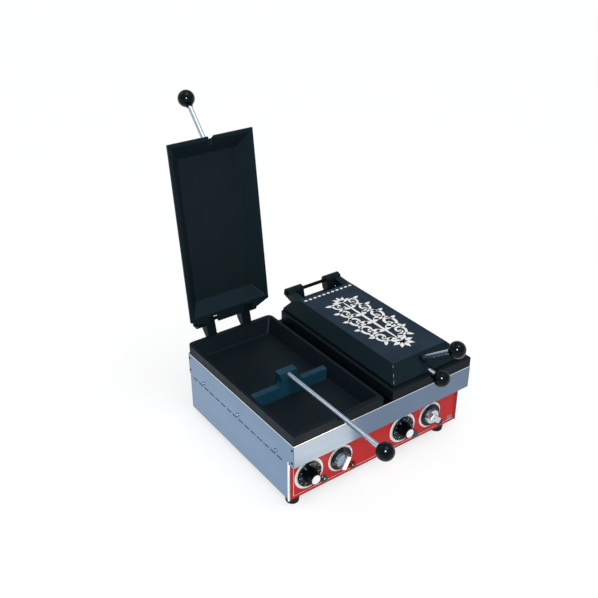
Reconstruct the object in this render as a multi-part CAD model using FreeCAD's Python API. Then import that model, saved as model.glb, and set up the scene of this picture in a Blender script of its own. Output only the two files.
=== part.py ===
import FreeCAD, Part
import math
import os

from FreeCAD import Vector

# Twin deep-pan baker for a counter top.
# Millimetres, +Z up, +Y towards the back. While it is built, Y is 0 at the tray's front face and
# Z is 0 at the surface it stands on. The last step moves the whole to the middle of its footprint.

# Case: folded stainless tray on top of a lower case, all on rubber feet
tray_width = 450.0
tray_depth = 386.0
skirt_height = 51.0
case_height = 140.0
case_right_inset = 13.0
sheet = 1.2
sheet_gap = 0.3
flange = 14.0
lap = 15.0
foot_height = 16.0
foot_radius = 15.0
foot_left_inset = 18.0
foot_right_inset = 40.0
foot_end_inset = 30.0
rear_foot_inset = 50.0
foot_taper = 2.0
foot_edge = 1.2
foot_head_radius = 5.5
foot_head_thick = 4.0
foot_recess = 7.0
foot_bolt_radius = 2.5
foot_nut_flats = 8.0
foot_nut_thick = 4.0
vent_count = 15
vent_length = 17.5
vent_height = 2.8
vent_drop = 4.0
vent_front_inset = 48.0
vent_rear_inset = 22.0
corner_bend = 1.6
rear_vent_columns = 9
rear_vent_rows = 3
base_vent_count = 6
base_vent_pitch = 20.0
base_vent_half = 50.0
base_vent_width = 4.0
side_screw_inset = 60.0
side_screw_height = 4.5
side_screw_radius = 2.0
side_screw_bite = 3.0
screw_head_radius = 4.0
screw_head_thick = 2.0
rivet_radius = 2.0
rivet_head = 3.4
rivet_inset = 5.0
rivet_drops = (0.22, 0.8)

# Control panel and what is mounted in it
panel_setback = 17.0
panel_border = 1.5
border_left = 8.0
border_other = 4.0
dial_offset = -59.5
switch_offset = 16.5
green_offset = -22.5
red_offset = 47.5
lamp_height = 12.5
lamp_radius = 6.5
bezel_radius = 8.0
bezel_thick = 2.0
lens_reach = 9.0
lamp_depth = 14.0
lamp_nut_flats = 17.0
plate_width = 16.0
plate_height = 10.0
plate_thick = 0.6
plate_right_inset = 17.0
plate_bottom = 7.0
dial_ring_radius = 33.5
switch_ring_radius = 29.5
ring_thick = 1.0
knob_gap = 1.0
dial_skirt_radius = 27.5
switch_skirt_radius = 25.0
skirt_thick = 3.0
skirt_edge = 1.2
nut_room_depth = 5.0
nut_room_gap = 1.5
barrel_foot_radius = 15.5
barrel_top_radius = 12.0
barrel_length = 19.0
flute_count = 10
flute_radius = 1.8
cap_radius = 9.5
cap_thick = 1.5
grip_radius = 17.5
grip_taper = 2.0
grip_base = 6.0
bar_width = 13.0
bar_height = 16.5
left_bar_angle = 28.0
right_bar_angle = -50.0
shaft_radius = 3.0
shaft_depth = 18.0
shaft_bite = 8.0
bushing_radius = 4.8
bushing_reach = 5.0
nut_flats = 14.0
nut_thick = 3.0
control_body = 36.0
control_depth = 32.0
blade_pitch = 10.0
blade_width = 6.0
blade_thick = 0.8
blade_reach = 8.0

# Pans
pan_gap = 25.0
rim_inset = 1.0
pan_rear_overhang = 3.0
rim_height = 21.5
rim_side = 7.0
rim_end = 9.0
pan_depth = 32.0
pan_floor = 9.0
well_draft_side = 15.0
well_draft_end = 14.0
well_round = 5.0
pan_body_inset = 12.0
deck_clearance = 2.0
pan_corner = 12.0
rim_round = 1.5
slot_clearance = 1.5
pan_slot_depth = 8.0
pan_slot_round = 3.0

# Heating under each pan
element_radius = 4.25
element_margin = 28.0
element_front = 62.0
element_back = 55.0
contact_gap = 0.05
clamp_thick = 1.5
stud_radius = 3.0
stud_bite = 6.0
stud_front = 110.0
stud_back = 84.0
stud_nut_thick = 5.0
stud_nut_flats = 10.0
shield_drop = 14.0
shield_clearance = 3.0
cold_pin_radius = 2.0
cold_pin_reach = 14.0
clamp_setback = 10.0

# Lids, drawn closed
lid_side_step = 9.0
lid_front_step = 9.0
lid_rear_reach = -3.0
lid_ledge = 15.0
ledge_corner = 40.0
lid_seat_gap = 0.3
lid_height = 30.0
lid_rim = 5.0
lid_wall = 7.0
lid_top_thick = 5.5
lid_slope_side = 24.5
lid_slope_front = 33.0
lid_slope_rear = 29.0
lid_round = 2.5
lid_slot_height = 9.5
lid_slot_round = 4.0
open_angle = 97.0

# Hinge between lid arms and pan lugs
hinge_behind = 16.0
hinge_above = 27.0
pin_radius = 4.0
pin_fit = 0.02
run_fit = 0.05
lug_place = 44.0
lug_width = 22.0
lug_boss = 10.5
arm_width = 18.0
arm_boss = 10.5
hinge_side_gap = 1.0
lug_clearance = 1.5
retainer_thick = 2.0
retainer_radius = 6.5

# Handles and scrapers
rod_radius = 5.0
ball_radius = 17.5
ball_flat = 2.0
ball_bore = 15.0
neck_length = 4.0
neck_radius = 7.5
neck_tip_radius = 6.5
handle_rise = 36.0
handle_length = 108.0
handle_place = 0.7
boss_radius = 9.0
boss_length = 8.0
boss_sink = 3.0
rod_above_rim = 2.5
scraper_ball_out = 126.5
scraper_push = 104.0
scraper_face = 147.0
scraper_lean = 0.486
scraper_lift = 0.4
wing_height = 19.0
wing_thick = 14.0
wing_clearance = 4.0
block_half = 21.0
block_height = 40.0
block_back = 184.0
block_shoulder = 10.0
rod_sink = 12.0

# Mains side
gland_right_inset = 32.0
gland_height = 32.0
gland_thread = 10.0
gland_bore = 5.0
gland_hex = 13.0
gland_collar = 8.0
gland_dome = 12.0
gland_tail = 12.0
gland_nut_thick = 5.0
terminal_length = 70.0
terminal_depth = 24.0
terminal_height = 28.0
terminal_poles = 5
terminal_gap = 14.0
terminal_screw = 2.5

# Levels
half_width = tray_width / 2
z_case = foot_height
z_deck = z_case + case_height
z_band = z_deck - skirt_height
z_rim = z_deck + rim_height
z_floor = z_rim - pan_depth
z_under = z_floor - pan_floor
z_lid = z_rim + lid_seat_gap
z_lid_top = z_rim + lid_height
z_control = (z_case + z_band) / 2
z_side_screw = z_band + side_screw_height
z_rod = z_rim + rod_above_rim
z_element = z_under - element_radius - contact_gap
z_clamp = z_element - element_radius - contact_gap
z_shield = z_clamp - clamp_thick - stud_nut_thick - shield_drop
z_gland = z_case + gland_height

# Places in plan
pan_width = (tray_width - 2 * rim_inset - pan_gap) / 2
pan_front = rim_inset
pan_rear = tray_depth + pan_rear_overhang
unit_centre = (pan_gap + pan_width) / 2
element_pitch = (pan_width / 2 - pan_body_inset - element_margin) / 1.5
units = {"left": -unit_centre, "right": unit_centre}
case_left = -half_width + sheet + sheet_gap
case_right = half_width - case_right_inset
case_rear = tray_depth - sheet - sheet_gap
lid_half = pan_width / 2 - lid_side_step
lid_front = pan_front + lid_front_step
lid_rear = pan_rear + lid_rear_reach
hinge_y = pan_rear + hinge_behind
hinge_z = z_rim + hinge_above
knob_back = panel_setback - ring_thick - knob_gap
knob_face = knob_back - skirt_thick
front_foot_y = foot_end_inset
rear_foot_y = tray_depth - foot_end_inset
left_foot_x = -half_width + foot_left_inset
right_foot_x = case_right - foot_right_inset
foot_places = [
    (left_foot_x, front_foot_y),
    (right_foot_x, front_foot_y),
    (-half_width + rear_foot_inset, rear_foot_y),
    (right_foot_x, rear_foot_y),
]
gland_x = case_right - gland_right_inset
slot_width = 2 * (rod_radius + slot_clearance)

X = Vector(1, 0, 0)
Y = Vector(0, 1, 0)
Z = Vector(0, 0, 1)


def box(x0, x1, y0, y1, z0, z1):
    return Part.makeBox(x1 - x0, y1 - y0, z1 - z0, Vector(x0, y0, z0))


def rod(radius, start, direction, length):
    return Part.makeCylinder(radius, length, start, direction)


def prism(points, sweep):
    corners = [Vector(*p) for p in points]
    outline = Part.makePolygon(corners + corners[:1])
    return Part.Face(outline).extrude(sweep)


def rectangle(x0, x1, y0, y1, z):
    corners = [Vector(x0, y0, z), Vector(x1, y0, z), Vector(x1, y1, z), Vector(x0, y1, z)]
    return Part.makePolygon(corners + corners[:1])


def tapered(low, low_z, high, high_z):
    return Part.makeLoft([rectangle(*low, low_z), rectangle(*high, high_z)], True, True)


def join(shapes):
    first = shapes[0]
    return first.fuse(shapes[1:]).removeSplitter()


def edges_where(shape, test):
    return [edge for edge in shape.Edges if test(edge.CenterOfMass)]


def hexagon(flats, start, direction, length):
    reach = flats / math.sqrt(3)
    side = direction.cross(Z if abs(direction.z) < 0.5 else X).normalize()
    other = direction.cross(side)
    corners = []
    for step in range(6):
        turn = math.radians(60 * step)
        corners.append(start + side * (reach * math.cos(turn)) + other * (reach * math.sin(turn)))
    face = Part.Face(Part.makePolygon(corners + corners[:1]))
    return face.extrude(direction * length)


def group(shapes):
    return Part.makeCompound(shapes)


# Sheet-metal case

def side_screw_places():
    span = tray_depth - 2 * side_screw_inset
    return [side_screw_inset + span * step / 2 for step in range(3)]


def side_screw_points():
    points = []
    for y in side_screw_places():
        points.append((Vector(-half_width, y, z_side_screw), X))
        points.append((Vector(half_width, y, z_side_screw), X * -1))
    for name in units:
        points.append((Vector(units[name], tray_depth, z_side_screw), Y * -1))
    return points


def screw_reach():
    return 2 * sheet + sheet_gap + side_screw_bite


def side_screw_holes():
    radius = side_screw_radius + run_fit
    return [rod(radius, place - inward, inward, screw_reach() + 1) for place, inward in side_screw_points()]


def side_screws():
    screws = []
    for place, inward in side_screw_points():
        head = rod(screw_head_radius, place - inward * screw_head_thick, inward, screw_head_thick)
        rim = edges_where(head, lambda c: (c - place).dot(inward) < -screw_head_thick + 0.1)
        head = head.makeFillet(screw_head_thick * 0.6, rim)
        shank = rod(side_screw_radius, place - inward * 0.5, inward, screw_reach() + 0.5)
        screws.append(join([head, shank]))
    return group(screws)


def rivet_points():
    points = []
    for side in (-1, 1):
        for y in (rivet_inset, tray_depth - rivet_inset):
            for drop in rivet_drops:
                points.append((Vector(side * half_width, y, z_deck - drop * skirt_height), X * -side))
    return points


def corner_rivets():
    rivets = []
    for place, inward in rivet_points():
        head = Part.makeSphere(rivet_head, place + inward * (rivet_head * 0.6))
        head = head.common(rod(rivet_head, place - inward * rivet_head, inward, rivet_head))
        shank = rod(rivet_radius, place - inward * 0.2, inward, sheet + 0.3)
        rivets.append(join([head, shank]))
    return group(rivets)


def pan_body_outline(centre, extra):
    half = pan_width / 2 - pan_body_inset + extra
    front = pan_front + pan_body_inset - extra
    back = pan_rear - pan_rear_overhang - pan_body_inset + extra
    return centre - half, centre + half, front, back


def top_tray():
    deck = box(-half_width, half_width, 0, tray_depth, z_deck - sheet, z_deck)
    shell = box(-half_width, half_width, 0, tray_depth, z_band, z_deck)
    inner = box(-half_width + sheet, half_width - sheet, sheet, tray_depth - sheet, z_band, z_deck)
    tray = join([deck, shell.cut(inner)])

    def is_bend(c):
        at_side = abs(abs(c.x) - half_width) < 0.01
        at_end = abs(c.y) < 0.01 or abs(c.y - tray_depth) < 0.01
        at_top = abs(c.z - z_deck) < 0.01
        return (at_side and at_end) or (at_side and at_top) or (at_end and at_top)

    tray = tray.makeFillet(corner_bend, edges_where(tray, is_bend))
    lip_back = panel_setback + sheet + flange
    lip = box(-half_width + sheet, half_width - sheet, sheet, lip_back, z_band, z_band + sheet)
    tray = join([tray, lip])
    cuts = side_screw_holes()
    for place, inward in rivet_points():
        cuts.append(rod(rivet_radius + pin_fit, place - inward, inward, sheet + 2))
    for centre in units.values():
        x0, x1, y0, y1 = pan_body_outline(centre, deck_clearance)
        cuts.append(box(x0, x1, y0, y1, z_deck - 2 * sheet, z_deck + 1))
    return tray.cut(cuts)


def vents(x0, x1):
    run = case_rear - vent_rear_inset - vent_front_inset
    pitch = run / (vent_count - 1)
    top = z_band - vent_drop
    slots = []
    for step in range(vent_count):
        y = vent_front_inset + pitch * step
        slots.append(box(x0, x1, y - vent_length / 2, y + vent_length / 2, top - vent_height, top))
    return slots


def side_flanges(inner_x, toward):
    # Front, rear and bottom flanges of a side panel, bent inwards from its inner face
    reach = sorted((inner_x, inner_x + toward * flange))
    z0 = z_case + sheet
    front_y = panel_setback + sheet
    back_y = case_rear - sheet
    low = box(*reach, front_y + sheet, back_y - sheet, z0, z0 + sheet)
    front = box(*reach, front_y, front_y + sheet, z0, z_band - sheet)
    back = box(*reach, back_y - sheet, back_y, z0, z_band - sheet)
    return [low, front, back]


def left_side_panel():
    front_edge = panel_setback - panel_border - sheet
    outer = box(case_left, case_left + sheet, front_edge, case_rear, z_case, z_band)
    upper_front = panel_setback + sheet + flange + 1
    upper = box(case_left, case_left + sheet, upper_front, case_rear, z_band, z_band + lap)
    panel = join([outer, upper] + side_flanges(case_left + sheet, 1))
    nut_room = rod(foot_nut_flats, Vector(left_foot_x, front_foot_y, z_case), Z, 4 * sheet)
    return panel.cut(vents(case_left - 1, case_left + sheet + 1) + side_screw_holes() + [nut_room])


def right_side_panel():
    front_edge = panel_setback - panel_border - sheet
    outer = box(case_right - sheet, case_right, front_edge, case_rear, z_case, z_band - sheet)
    upper_front = panel_setback + sheet + flange + 1
    upper = box(case_right - sheet, case_right, upper_front, case_rear, z_band - sheet, z_band + lap)
    lip_x = half_width - sheet - sheet_gap
    step = box(case_right - sheet, lip_x, upper_front, case_rear, z_band + lap - sheet, z_band + lap)
    lip = box(lip_x - sheet, lip_x, upper_front, case_rear, z_band + sheet, z_band + lap)
    panel = join([outer, upper, step, lip] + side_flanges(case_right - sheet, -1))
    return panel.cut(vents(case_right - sheet - 1, case_right + 1) + side_screw_holes())


def rear_panel():
    x0 = case_left + sheet
    x1 = case_right - sheet
    plate = box(x0, x1, case_rear - sheet, case_rear, z_case, z_band + lap)
    inside = case_rear - 2 * sheet
    slots = []
    for column in range(rear_vent_columns):
        x = (column - (rear_vent_columns - 1) / 2) * 2 * vent_length - vent_length / 2
        for row in range(rear_vent_rows):
            z = z_control + row * 3 * vent_height
            slots.append(box(x, x + vent_length, inside, case_rear + 1, z, z + vent_height))
    hole = rod(gland_thread + run_fit, Vector(gland_x, case_rear - 2 * sheet, z_gland), Y, 3 * sheet)
    return plate.cut(slots + [hole] + side_screw_holes())


def base_plate():
    x0 = case_left + sheet
    x1 = case_right - sheet
    plate = box(x0, x1, panel_setback + sheet, case_rear - sheet, z_case, z_case + sheet)
    cuts = []
    for x, y in foot_places:
        cuts.append(rod(foot_bolt_radius + pin_fit, Vector(x, y, z_case - 1), Z, 3 * sheet))
    for centre in units.values():
        left = centre - base_vent_half
        right = centre + base_vent_half
        for step in range(base_vent_count):
            y = tray_depth / 2 + (step - (base_vent_count - 1) / 2) * base_vent_pitch - base_vent_width / 2
            cuts.append(box(left, right, y, y + base_vent_width, z_case - 1, z_case + 2 * sheet))
    return plate.cut(cuts)


def feet():
    shapes = []
    for x, y in foot_places:
        foot = Part.makeCone(foot_radius - foot_taper, foot_radius, foot_height, Vector(x, y, 0))
        foot = foot.makeFillet(foot_edge, edges_where(foot, lambda c: c.z < 0.01))
        recess = rod(foot_head_radius + sheet_gap, Vector(x, y, -1), Z, foot_recess + 1)
        hole = rod(foot_bolt_radius + run_fit, Vector(x, y, 0), Z, foot_height)
        shapes.append(foot.cut([recess, hole]))
    return group(shapes)


def foot_bolts():
    shapes = []
    for x, y in foot_places:
        head = rod(foot_head_radius, Vector(x, y, foot_recess - foot_head_thick), Z, foot_head_thick)
        shank = rod(foot_bolt_radius, Vector(x, y, foot_recess - 1), Z, z_case + sheet - foot_recess + 1)
        nut = hexagon(foot_nut_flats, Vector(x, y, z_case + sheet), Z, foot_nut_thick)
        shapes.append(join([head, shank, nut]))
    return group(shapes)


# Control panel and controls

def control_places():
    places = []
    for name, centre in units.items():
        places.append((name, "dial", centre + dial_offset))
        places.append((name, "switch", centre + switch_offset))
    return places


def lamp_places(offset):
    return [Vector(centre + offset, panel_setback, z_case + lamp_height) for centre in units.values()]


def control_panel():
    x0 = case_left + sheet
    x1 = case_right - sheet
    face = box(x0, x1, panel_setback, panel_setback + sheet, z_case, z_band)
    proud = panel_setback - panel_border
    strips = [
        box(x0, x0 + border_left, proud, panel_setback, z_case, z_band),
        box(x1 - border_other, x1, proud, panel_setback, z_case, z_band),
        box(x0, x1, proud, panel_setback, z_case, z_case + border_other),
    ]
    back = panel_setback + sheet + flange - 1
    top = box(x0 + flange, x1 - flange, panel_setback, back, z_band - sheet, z_band)
    panel = join([face, top] + strips)

    def on_strip(c):
        return c.y < proud + 0.01

    panel = panel.makeFillet(panel_border * 0.4, edges_where(panel, on_strip))
    cuts = []
    for name, kind, x in control_places():
        cuts.append(rod(bushing_radius + run_fit, Vector(x, panel_setback - 5, z_control), Y, 10))
    for place in lamp_places(green_offset) + lamp_places(red_offset):
        cuts.append(rod(lamp_radius + run_fit, place - Y * 5, Y, 10))
    return panel.cut(cuts)


def blank_plate():
    x1 = case_right - plate_right_inset + plate_width / 2
    z0 = z_case + plate_bottom
    plate = box(x1 - plate_width, x1, panel_setback - plate_thick, panel_setback, z0, z0 + plate_height)
    upright = edges_where(plate, lambda c: abs(c.y - panel_setback + plate_thick / 2) < 0.01)
    return plate.makeFillet(1.0, upright)


def scale_rings():
    radii = {"dial": dial_ring_radius, "switch": switch_ring_radius}
    rings = []
    for name, kind, x in control_places():
        start = Vector(x, panel_setback - ring_thick, z_control)
        ring = rod(radii[kind], start, Y, ring_thick)
        rings.append(ring.cut(rod(bushing_radius + run_fit, start - Y, Y, ring_thick + 2)))
    return group(rings)


def control_nuts():
    nuts = []
    for name, kind, x in control_places():
        start = Vector(x, panel_setback - ring_thick - nut_thick, z_control)
        nut = hexagon(nut_flats, start, Y, nut_thick)
        nuts.append(nut.cut(rod(bushing_radius + pin_fit, start - Y, Y, nut_thick + 2)))
    return group(nuts)


def control_block(x, depth, lobes):
    # Thermostat or switch: a moulded block on the panel's back, with a threaded bushing and terminals
    front = panel_setback + sheet
    half = control_body / 2
    block = box(x - half, x + half, front, front + depth, z_control - half, z_control + half)
    block = block.makeFillet(2.0, edges_where(block, lambda c: abs(c.y - front - depth / 2) < 0.01))
    tip = panel_setback - ring_thick - bushing_reach
    bushing = rod(bushing_radius, Vector(x, tip, z_control), Y, front - tip + 1)
    back = front + depth
    z0 = z_control - blade_thick / 2
    blades = []
    for step in range(lobes):
        x0 = x + (step - (lobes - 1) / 2) * blade_pitch - blade_width / 2
        blades.append(box(x0, x0 + blade_width, back - 1, back + blade_reach, z0, z0 + blade_thick))
    solid = join([block, bushing] + blades)
    return solid.cut(rod(shaft_radius + run_fit, Vector(x, tip - 1, z_control), Y, shaft_depth + 1))


def knob_shaft(x):
    start = knob_face - shaft_bite
    end = panel_setback - ring_thick - bushing_reach + shaft_depth - 1.0
    return rod(shaft_radius, Vector(x, start, z_control), Y, end - start)


def knob_skirt(x, radius):
    skirt = rod(radius, Vector(x, knob_face, z_control), Y, skirt_thick)
    return skirt.makeFillet(skirt_edge, edges_where(skirt, lambda c: c.y < knob_face + 0.01))


def knob_hollow(x):
    # Room behind a knob for the fixing nut and the bushing's end, and the blind hole for the shaft
    room_radius = nut_flats / math.sqrt(3) + nut_room_gap
    nut_room = rod(room_radius, Vector(x, knob_back - nut_room_depth, z_control), Y, nut_room_depth + 1)
    shaft_end = Vector(x, knob_face - shaft_bite - 0.5, z_control)
    shaft_hole = rod(shaft_radius + pin_fit, shaft_end, Y, shaft_bite + 1)
    return [nut_room, shaft_hole]


def dial_knob(x):
    toward = Y * -1
    foot = Vector(x, knob_face + 0.5, z_control)
    barrel = Part.makeCone(barrel_foot_radius, barrel_top_radius, barrel_length, foot, toward)
    ring = barrel_foot_radius + flute_radius * 0.3
    steep = barrel_length / (barrel_foot_radius - barrel_top_radius)
    flutes = []
    for step in range(flute_count):
        turn = 2 * math.pi * step / flute_count
        outward = Vector(math.cos(turn), 0, math.sin(turn))
        lean = toward * steep - outward
        start = foot + toward * 1.5 + outward * ring
        flutes.append(rod(flute_radius, start, lean.normalize(), barrel_length + 2))
    knob = join([knob_skirt(x, dial_skirt_radius), barrel.cut(flutes)])
    return knob.cut(knob_hollow(x))


def dial_cap(x):
    start = Vector(x, knob_face + 0.5 - barrel_length, z_control)
    cap = rod(cap_radius, start, Y * -1, cap_thick)
    return cap.makeFillet(0.7, edges_where(cap, lambda c: c.y < start.y - cap_thick + 0.01))


def switch_grip(x, angle):
    foot = Vector(x, knob_face, z_control)
    reach = grip_radius - grip_taper
    base = Part.makeCone(grip_radius, reach, grip_base, foot, Y * -1)
    half = bar_width / 2
    front = knob_face - bar_height
    back = knob_face - grip_base + 1
    bar = box(x - half, x + half, front, back, z_control - reach, z_control + reach)
    bar = bar.makeFillet(3.0, edges_where(bar, lambda c: c.y < front + 0.01))
    bar.rotate(foot, Y, angle)
    return join([base, bar]).cut(knob_hollow(x))


def switch_skirt(x):
    return knob_skirt(x, switch_skirt_radius).cut(knob_hollow(x))


def lamps(offset):
    shapes = []
    for place in lamp_places(offset):
        bezel = rod(bezel_radius, place - Y * bezel_thick, Y, bezel_thick)
        bezel = bezel.makeFillet(0.8, edges_where(bezel, lambda c: c.y < place.y - bezel_thick + 0.01))
        dome_y = lens_reach - lamp_radius
        lens = rod(lamp_radius, place - Y * dome_y, Y, dome_y)
        dome = Part.makeSphere(lamp_radius, place - Y * dome_y)
        body = rod(lamp_radius, place - Y * 0.5, Y, sheet + lamp_depth)
        shapes.append(join([bezel, lens, dome, body]))
    return group(shapes)


def lamp_nuts():
    nuts = []
    for place in lamp_places(green_offset) + lamp_places(red_offset):
        start = place + Y * sheet
        nut = hexagon(lamp_nut_flats, start, Y, nut_thick)
        nuts.append(nut.cut(rod(lamp_radius + pin_fit, start - Y, Y, nut_thick + 2)))
    return group(nuts)


# Pans

def lug(x):
    # Cast ear behind the pan: it climbs from the rear wall to the hinge axis
    x0 = x - lug_width / 2
    front = lid_rear + lug_clearance
    foot_top = z_rim - 1.0
    profile = [
        (x0, pan_rear - 2, z_deck + 2),
        (x0, pan_rear - 2, foot_top),
        (x0, front, foot_top),
        (x0, hinge_y - lug_boss, hinge_z),
        (x0, hinge_y + lug_boss, hinge_z),
        (x0, hinge_y + lug_boss * 0.6, hinge_z - lug_boss * 2),
    ]
    boss = rod(lug_boss, Vector(x0, hinge_y, hinge_z), X, lug_width)
    bore = rod(pin_radius + pin_fit, Vector(x0 - 1, hinge_y, hinge_z), X, lug_width + 2)
    return join([prism(profile, X * lug_width), boss]).cut(bore)


def pan(centre):
    half = pan_width / 2
    rim = box(centre - half, centre + half, pan_front, pan_rear, z_deck, z_rim)

    def at_rear_corner(c):
        return abs(c.z - (z_deck + z_rim) / 2) < 0.01 and c.y > pan_rear - 0.01

    rim = rim.makeFillet(pan_corner, edges_where(rim, at_rear_corner))
    rim = rim.makeFillet(rim_round, edges_where(rim, lambda c: c.z > z_rim - 0.01))
    x0, x1, y0, y1 = pan_body_outline(centre, 0)
    body = box(x0, x1, y0, y1, z_under, z_deck + 1)
    top = (centre - half + rim_side, centre + half - rim_side, pan_front + rim_end, pan_rear - rim_end)
    side = well_draft_side
    end = well_draft_end
    low = (top[0] + side, top[1] - side, top[2] + end, top[3] - end)
    rise = 2.0
    over = rise / pan_depth
    mouth = (top[0] - side * over, top[1] + side * over, top[2] - end * over, top[3] + end * over)
    well = tapered(low, z_floor, mouth, z_rim + rise)
    well = well.makeFillet(well_round, edges_where(well, lambda c: c.z < z_rim))
    z_slot = z_rim - pan_slot_depth
    notch_back = low[2] + 2
    notch = box(centre - slot_width / 2, centre + slot_width / 2, -1, notch_back, z_slot, z_rim + 1)

    def at_slot_floor(c):
        return c.z < z_slot + 0.01 and abs(c.x - centre) > 1

    notch = notch.makeFillet(pan_slot_round, edges_where(notch, at_slot_floor))
    solid = join([rim, body]).cut([well, notch])
    ears = [lug(centre + side * lug_place) for side in (-1, 1)]
    solid = join([solid] + ears)
    holes = [rod(stud_radius + pin_fit, p - Z, Z, stud_bite + 1.2) for p in stud_points(centre)]
    return solid.cut(holes)


# Heating

def stud_points(centre):
    ys = (stud_front, pan_rear - stud_back)
    return [Vector(centre + side * element_pitch, y, z_under) for side in (-1, 1) for y in ys]


def heating_element(centre):
    xs = [centre + (step - 1.5) * element_pitch for step in range(4)]
    turn = element_pitch / 2
    near = element_front + turn
    far = pan_rear - element_back - turn
    start = Vector(xs[0], element_front, z_element)
    path = [Part.LineSegment(start, Vector(xs[0], far, z_element)).toShape()]
    # Each bend is followed by a straight run to the y where the next one starts
    runs = [(far, turn, near), (near, -turn, far), (far, turn, element_front)]
    for step, (y, bulge, end) in enumerate(runs):
        a = Vector(xs[step], y, z_element)
        b = Vector(xs[step] + turn, y + bulge, z_element)
        c = Vector(xs[step + 1], y, z_element)
        path.append(Part.Arc(a, b, c).toShape())
        path.append(Part.LineSegment(c, Vector(c.x, end, z_element)).toShape())
    circle = Part.Circle(start, Y, element_radius).toShape()
    tube = Part.Wire(path).makePipeShell([Part.Wire(circle)], True, False)
    tip = element_front - cold_pin_reach
    pins = [rod(cold_pin_radius, Vector(x, tip, z_element), Y, cold_pin_reach + 2) for x in (xs[0], xs[3])]
    return join([tube] + pins)


def stud_holes(centre, z0, z1):
    return [rod(stud_radius + run_fit, Vector(p.x, p.y, z0), Z, z1 - z0) for p in stud_points(centre)]


def clamp_plate(centre):
    half = 2 * element_pitch
    front = element_front + clamp_setback
    back = pan_rear - element_back
    plate = box(centre - half, centre + half, front, back, z_clamp - clamp_thick, z_clamp)
    return plate.cut(stud_holes(centre, z_clamp - 2 * clamp_thick, z_clamp + 1))


def heat_shield(centre):
    room = case_right - sheet - shield_clearance - unit_centre
    half = min(2 * element_pitch, room)
    x0 = centre - half
    x1 = centre + half
    y0 = pan_front + pan_body_inset + flange
    y1 = pan_rear - element_back + flange
    z1 = z_shield + shield_drop
    tray = box(x0, x1, y0, y1, z_shield - sheet, z1)
    tray = tray.cut(box(x0 + sheet, x1 - sheet, y0 + sheet, y1 - sheet, z_shield, z1 + 1))
    return tray.cut(stud_holes(centre, z_shield - 2 * sheet, z_shield + 1))


def pan_studs():
    low = z_shield - sheet - stud_nut_thick - 2
    studs = []
    for centre in units.values():
        for p in stud_points(centre):
            studs.append(rod(stud_radius, Vector(p.x, p.y, low), Z, z_under + stud_bite - low))
    return group(studs)


def pan_nuts():
    nuts = []
    levels = (z_clamp - clamp_thick - stud_nut_thick, z_shield, z_shield - sheet - stud_nut_thick)
    for centre in units.values():
        for p in stud_points(centre):
            for z in levels:
                start = Vector(p.x, p.y, z)
                nut = hexagon(stud_nut_flats, start, Z, stud_nut_thick)
                nuts.append(nut.cut(rod(stud_radius + pin_fit, start - Z, Z, stud_nut_thick + 2)))
    return group(nuts)


# Lids

def swing(shape):
    shape.rotate(Vector(0, hinge_y, hinge_z), X, -open_angle)
    return shape


def ledge_outline(centre):
    inner = lid_half - ledge_corner
    back = lid_rear + lid_ledge
    return [
        (centre - lid_half, lid_rear - 2, z_lid),
        (centre - lid_half, lid_rear, z_lid),
        (centre - inner, back, z_lid),
        (centre + inner, back, z_lid),
        (centre + lid_half, lid_rear, z_lid),
        (centre + lid_half, lid_rear - 2, z_lid),
    ]


def lid_arm(x):
    x0 = x - arm_width / 2
    profile = [
        (x0, lid_rear - lid_slope_rear - 8, z_lid_top - 3.0),
        (x0, hinge_y - arm_boss * 0.9, hinge_z + arm_boss * 0.25),
        (x0, hinge_y, hinge_z - arm_boss),
        (x0, lid_rear - 8, z_lid + lid_rim + 3),
    ]
    boss = rod(arm_boss, Vector(x0, hinge_y, hinge_z), X, arm_width)
    return join([prism(profile, X * arm_width), boss])


def handle_line():
    # Foot of the handle on the sloping front wall, and the way the rod points
    y = lid_front + lid_slope_front * handle_place
    z = z_lid + lid_rim + (z_lid_top - z_lid - lid_rim) * handle_place
    rise = math.radians(handle_rise)
    return y, z, Vector(0, -math.cos(rise), math.sin(rise))


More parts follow.
